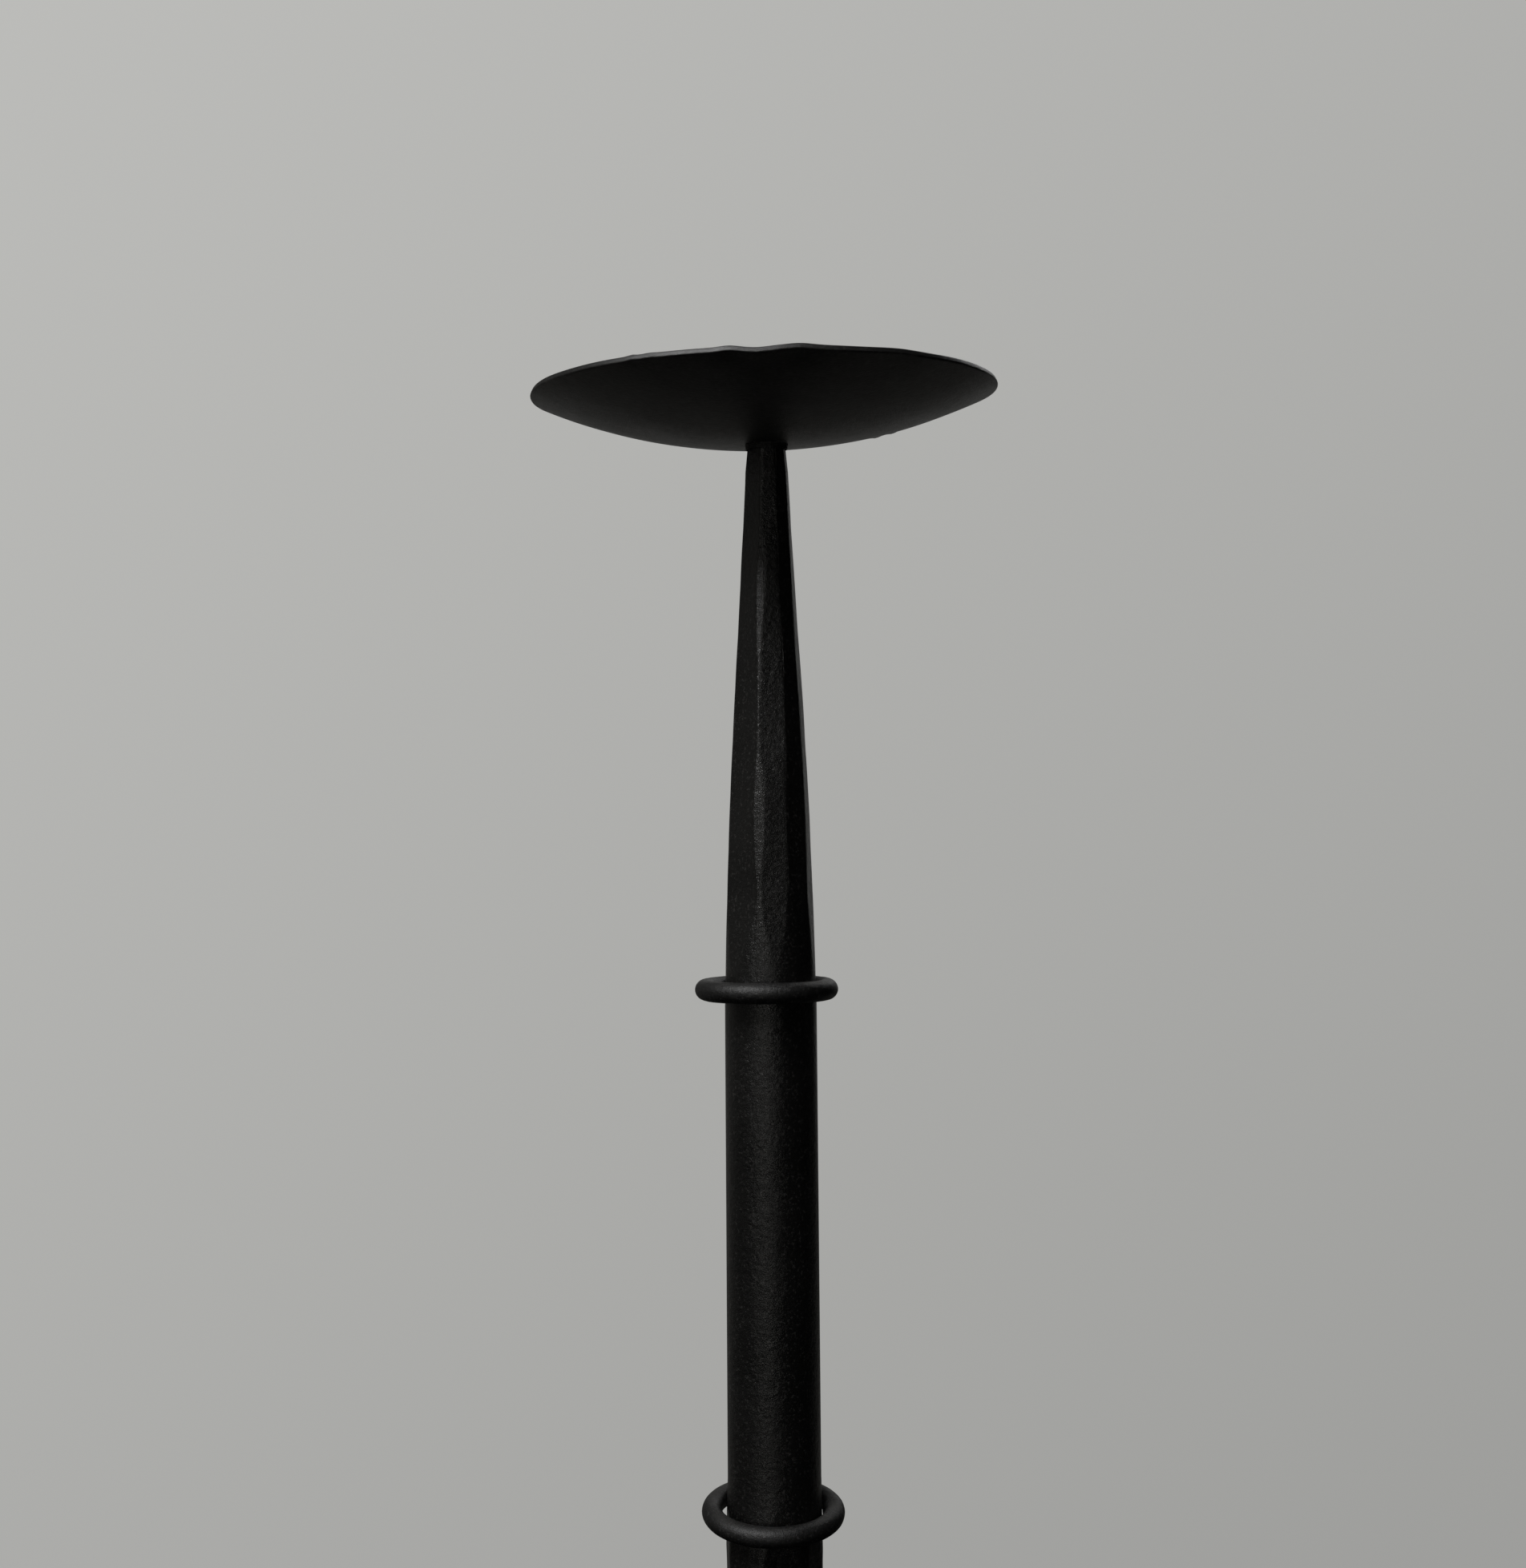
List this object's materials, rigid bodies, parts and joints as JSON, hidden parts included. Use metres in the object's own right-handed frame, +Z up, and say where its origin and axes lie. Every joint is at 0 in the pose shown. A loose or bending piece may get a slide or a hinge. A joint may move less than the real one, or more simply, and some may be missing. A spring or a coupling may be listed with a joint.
{
  "type": "torchere candle stand",
  "caption": "Tall floor stand of black painted iron for a pillar candle: a dished pan with a spike on a hammered, tapered shaft with rings, on a tripod base.",
  "frame": {"origin": "on the floor, at the middle of the outline of the three feet; the shaft's axis stands 58 mm in front of it, at y = -0.058", "axes": "+Z up along the shaft, -Y towards the front, between the two front legs, +X to the right of someone who faces the front"},
  "size_m": [0.4556, 0.4019, 1.1367],
  "materials": {
    "pan_paint": "satin black paint on dished sheet",
    "shaft_paint": "satin black paint with a fine grain on hammered tube",
    "ring_paint": "satin black paint on round bar",
    "weld_paint": "satin black paint over weld",
    "leg_paint": "satin black paint on forged bar",
    "hardware_paint": "satin black paint on turned steel"
  },
  "bodies": {
    "root": {"shaft": "shaft_paint", "shaft_plug_and_stud": "hardware_paint", "drip_pan": "pan_paint", "candle_plate": "pan_paint", "candle_spike": "hardware_paint", "neck_weld_bead": "weld_paint", "upper_ring": "ring_paint", "upper_ring_weld_right": "weld_paint", "upper_ring_weld_left": "weld_paint", "lower_ring": "ring_paint", "lower_ring_weld_right": "weld_paint", "lower_ring_weld_left": "weld_paint", "leg_boss": "leg_paint", "base_washer": "hardware_paint", "base_nut": "hardware_paint", "leg_right": "leg_paint", "leg_back": "leg_paint", "leg_left": "leg_paint", "leg_rivet_right": "hardware_paint", "leg_rivet_back": "hardware_paint", "leg_rivet_left": "hardware_paint"}
  },
  "joints": []
}
